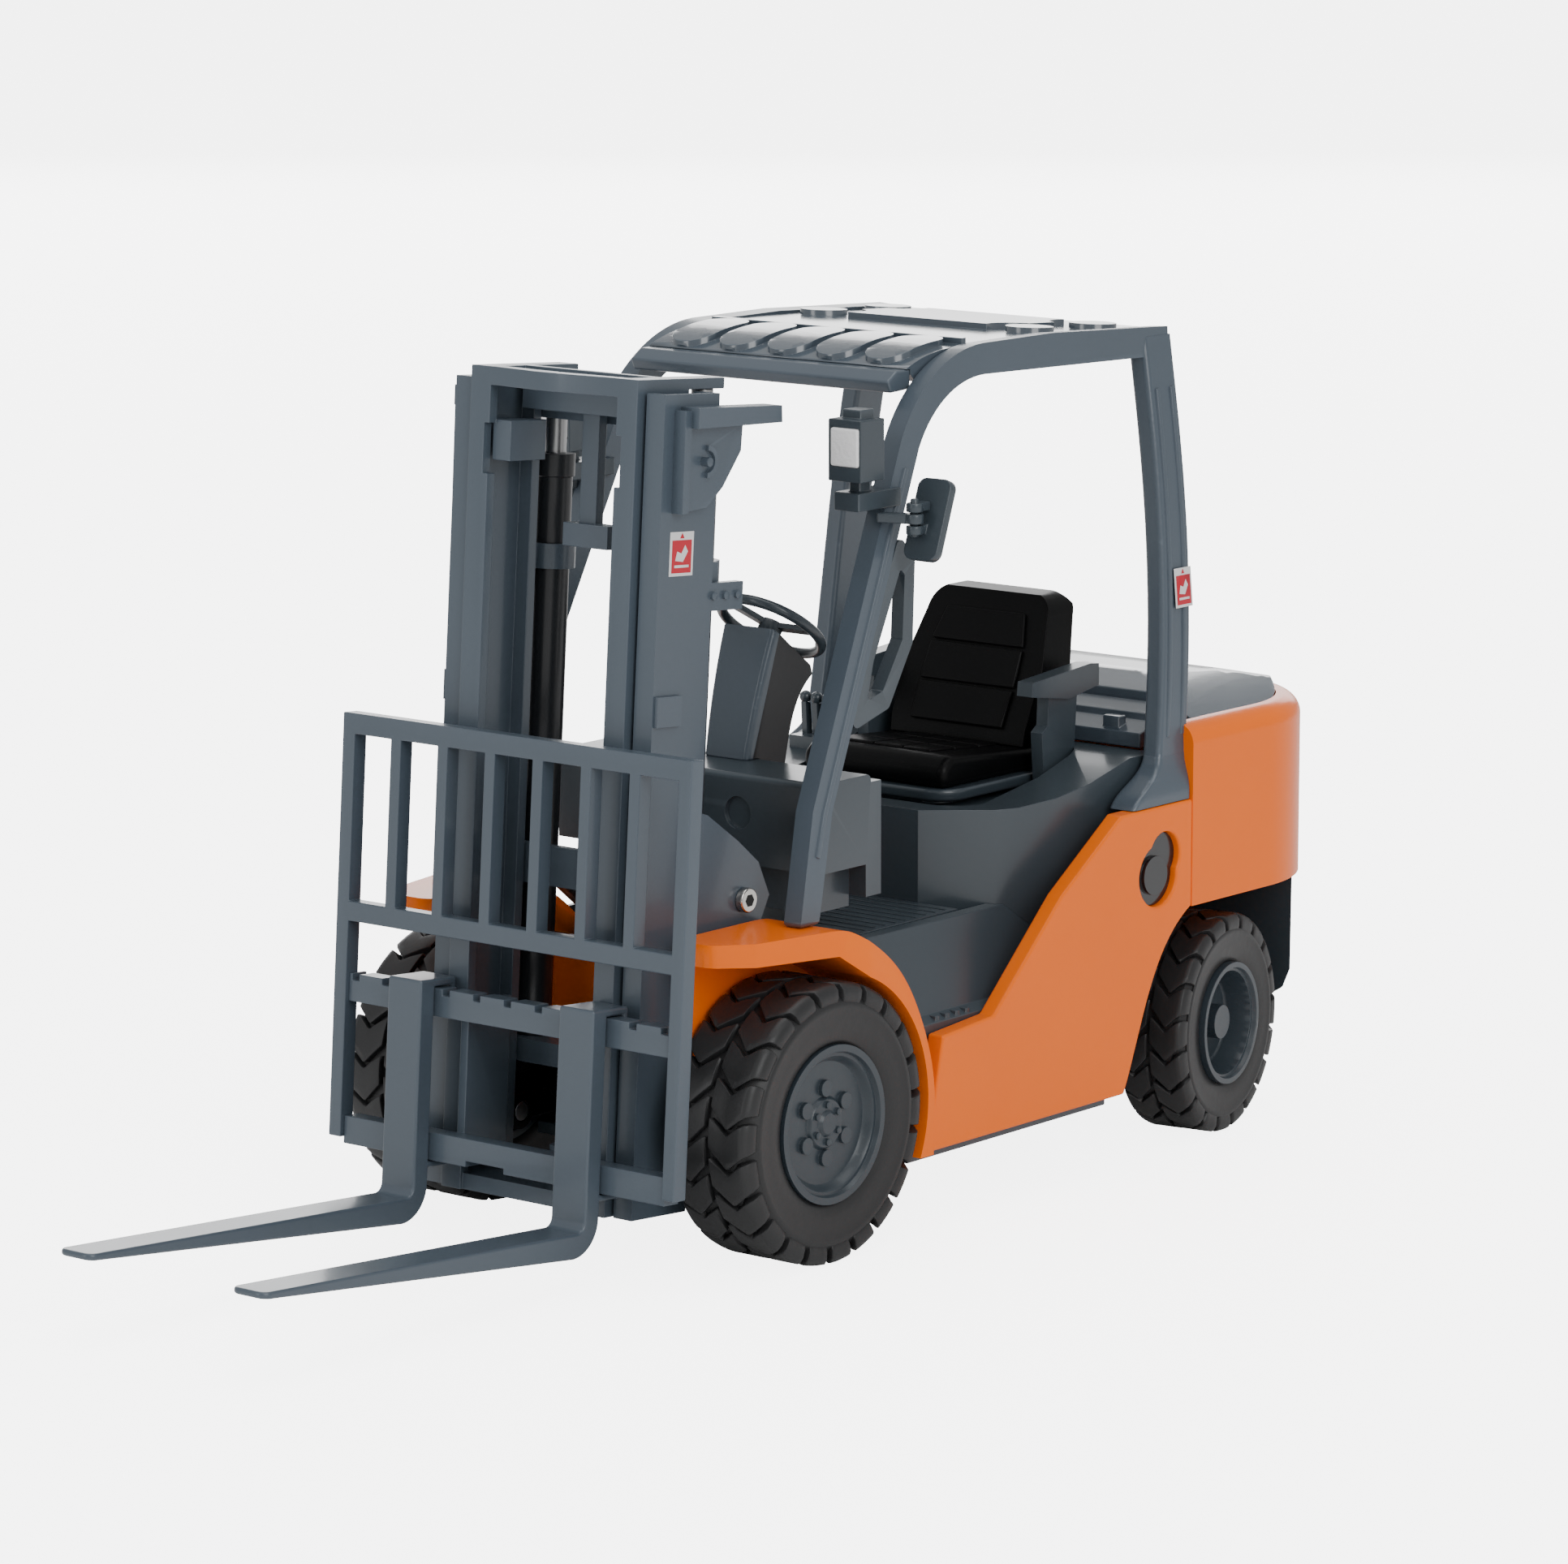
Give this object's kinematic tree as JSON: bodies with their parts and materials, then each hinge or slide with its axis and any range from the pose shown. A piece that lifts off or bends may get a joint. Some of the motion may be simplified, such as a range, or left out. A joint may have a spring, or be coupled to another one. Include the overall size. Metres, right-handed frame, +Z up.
{
  "type": "toy forklift truck",
  "caption": "Counterbalance forklift truck model with tilting two-stage mast, sliding forks, overhead guard, seat and steered rear wheels.",
  "frame": {"origin": "centre of the bounding box, on the floor under the tyres", "axes": "+X forwards, towards the fork tips; +Y to the driver's left; +Z up"},
  "size_m": [0.1931, 0.0632, 0.106],
  "materials": {
    "frame_paint": "satin",
    "orange_paint": "gloss",
    "black_plastic": "satin",
    "tyre_rubber": "matte",
    "rim_paint": "satin",
    "black_metal": "satin",
    "steel": "satin",
    "slate_plastic": "satin",
    "bright_steel": "polished",
    "lens": "gloss"
  },
  "bodies": {
    "chassis": {"front_axle": "steel", "chassis_frame": "black_metal", "pivot_pins": "steel", "base_plate": "slate_plastic", "base_screws": "steel", "rear_axle_beam": "black_metal", "fender_left": "orange_paint", "fender_right": "orange_paint", "side_panel_left": "orange_paint", "side_panel_right": "orange_paint", "fuel_filler": "slate_plastic", "counterweight": "orange_paint", "counterweight_skirt": "slate_plastic", "rear_hood": "slate_plastic", "engine_cover": "slate_plastic", "floor_mat": "slate_plastic", "step_left": "slate_plastic", "step_right": "slate_plastic", "cowl": "slate_plastic", "steering_column": "slate_plastic", "pedals": "slate_plastic", "seat_pan": "slate_plastic", "seat_cushion": "black_plastic", "seat_back": "black_plastic", "armrests": "slate_plastic", "control_levers": "slate_plastic", "guard_side_left": "frame_paint", "guard_side_right": "frame_paint", "guard_header": "frame_paint", "roof_panel": "frame_paint", "assist_grip": "slate_plastic", "work_lamps": "slate_plastic", "lamp_lenses": "lens", "mirror_arms": "slate_plastic"},
    "front_wheel_left": {"front_tyre_left": "tyre_rubber", "front_rim_left": "rim_paint"},
    "front_wheel_right": {"front_tyre_right": "tyre_rubber", "front_rim_right": "rim_paint"},
    "knuckle_left": {"steering_knuckle_left": "black_metal"},
    "knuckle_right": {"steering_knuckle_right": "black_metal"},
    "rear_wheel_left": {"rear_tyre_left": "tyre_rubber", "rear_rim_left": "rim_paint"},
    "rear_wheel_right": {"rear_tyre_right": "tyre_rubber", "rear_rim_right": "rim_paint"},
    "tie_rod": {"tie_rod": "black_metal"},
    "steering_wheel": {"steering_wheel": "slate_plastic"},
    "mirror_left": {"mirror_left": "slate_plastic"},
    "mirror_right": {"mirror_right": "slate_plastic"},
    "mast_outer": {"outer_mast": "frame_paint", "rail_brackets": "frame_paint", "lift_cylinders": "black_metal", "tilt_pins": "bright_steel"},
    "mast_inner": {"inner_mast": "frame_paint", "lift_rods": "steel"},
    "carriage": {"backrest": "frame_paint", "fork_carriage": "frame_paint"},
    "fork_left": {"fork_left": "frame_paint"},
    "fork_right": {"fork_right": "frame_paint"},
    "tilt_barrels": {"tilt_barrels": "black_metal"},
    "tilt_rods": {"tilt_rods": "steel"}
  },
  "joints": [
    {"name": "mast_tilt", "type": "hinge", "parent": "chassis", "child": "mast_outer", "pos_m": [0.02336, 0, 0.01385], "axis": [0, 1, 0], "range_deg": [-6, 7]},
    {"name": "mast_lift", "type": "slide", "parent": "mast_outer", "child": "mast_inner", "axis": [-0.0708, 0, 0.9975], "range_m": [0, 0.05]},
    {"name": "carriage_lift", "type": "slide", "parent": "mast_inner", "child": "carriage", "axis": [-0.0708, 0, 0.9975], "range_m": [0, 0.05]},
    {"name": "fork_left_shift", "type": "slide", "parent": "carriage", "child": "fork_left", "axis": [0, 1, 0], "range_m": [-0.0095, 0.0092]},
    {"name": "fork_right_shift", "type": "slide", "parent": "carriage", "child": "fork_right", "axis": [0, 1, 0], "range_m": [-0.0084, 0.0103]},
    {"name": "front_wheel_left_spin", "type": "hinge", "parent": "chassis", "child": "front_wheel_left", "pos_m": [0.0155, 0.0256, 0.017], "axis": [0, 1, 0], "continuous": true},
    {"name": "front_wheel_right_spin", "type": "hinge", "parent": "chassis", "child": "front_wheel_right", "pos_m": [0.0155, -0.0256, 0.017], "axis": [0, 1, 0], "continuous": true},
    {"name": "steer_left", "type": "hinge", "parent": "chassis", "child": "knuckle_left", "pos_m": [-0.0678, 0.0138, 0.0142], "axis": [0, 0, 1], "range_deg": [-27, 9]},
    {"name": "steer_right", "type": "hinge", "parent": "chassis", "child": "knuckle_right", "pos_m": [-0.0678, -0.0138, 0.0142], "axis": [0, 0, 1], "range_deg": [-27, 9]},
    {"name": "tie_rod_shift", "type": "slide", "parent": "chassis", "child": "tie_rod", "axis": [0, 1, 0], "range_m": [-0.003, 0.001]},
    {"name": "rear_wheel_left_spin", "type": "hinge", "parent": "knuckle_left", "child": "rear_wheel_left", "pos_m": [-0.0678, 0.0138, 0.0142], "axis": [-0.1564, 0.9877, 0], "continuous": true},
    {"name": "rear_wheel_right_spin", "type": "hinge", "parent": "knuckle_right", "child": "rear_wheel_right", "pos_m": [-0.0678, -0.0138, 0.0142], "axis": [-0.1564, 0.9877, 0], "continuous": true},
    {"name": "tilt_barrel_swing", "type": "hinge", "parent": "chassis", "child": "tilt_barrels", "pos_m": [-0.006, 0, 0.0255], "axis": [0, 1, 0], "range_deg": [-3, 3.5]},
    {"name": "tilt_rod_stroke", "type": "slide", "parent": "tilt_barrels", "child": "tilt_rods", "axis": [0.7871, 0, 0.6169], "range_m": [-0.0032, 0.0036]},
    {"name": "steering_wheel_turn", "type": "hinge", "parent": "chassis", "child": "steering_wheel", "pos_m": [-0.0113, 0, 0.0702], "axis": [-0.6018, 0, 0.7986], "continuous": true},
    {"name": "mirror_left_swing", "type": "hinge", "parent": "chassis", "child": "mirror_left", "pos_m": [-0.0036, 0.0282, 0.0866], "axis": [0, 0, 1], "range_deg": [-30, 30]},
    {"name": "mirror_right_swing", "type": "hinge", "parent": "chassis", "child": "mirror_right", "pos_m": [-0.0036, -0.0282, 0.0866], "axis": [0, 0, 1], "range_deg": [-30, 30]}
  ],
  "couplings": [
    {"joint": "carriage_lift", "follows": "mast_lift", "ratio": 1},
    {"joint": "steer_right", "follows": "steer_left", "ratio": 1},
    {"joint": "tie_rod_shift", "follows": "steer_left", "m_per_rad": 0.0059},
    {"joint": "tilt_barrel_swing", "follows": "mast_tilt", "ratio": 0.41762},
    {"joint": "tilt_rod_stroke", "follows": "mast_tilt", "m_per_rad": 0.02728}
  ]
}
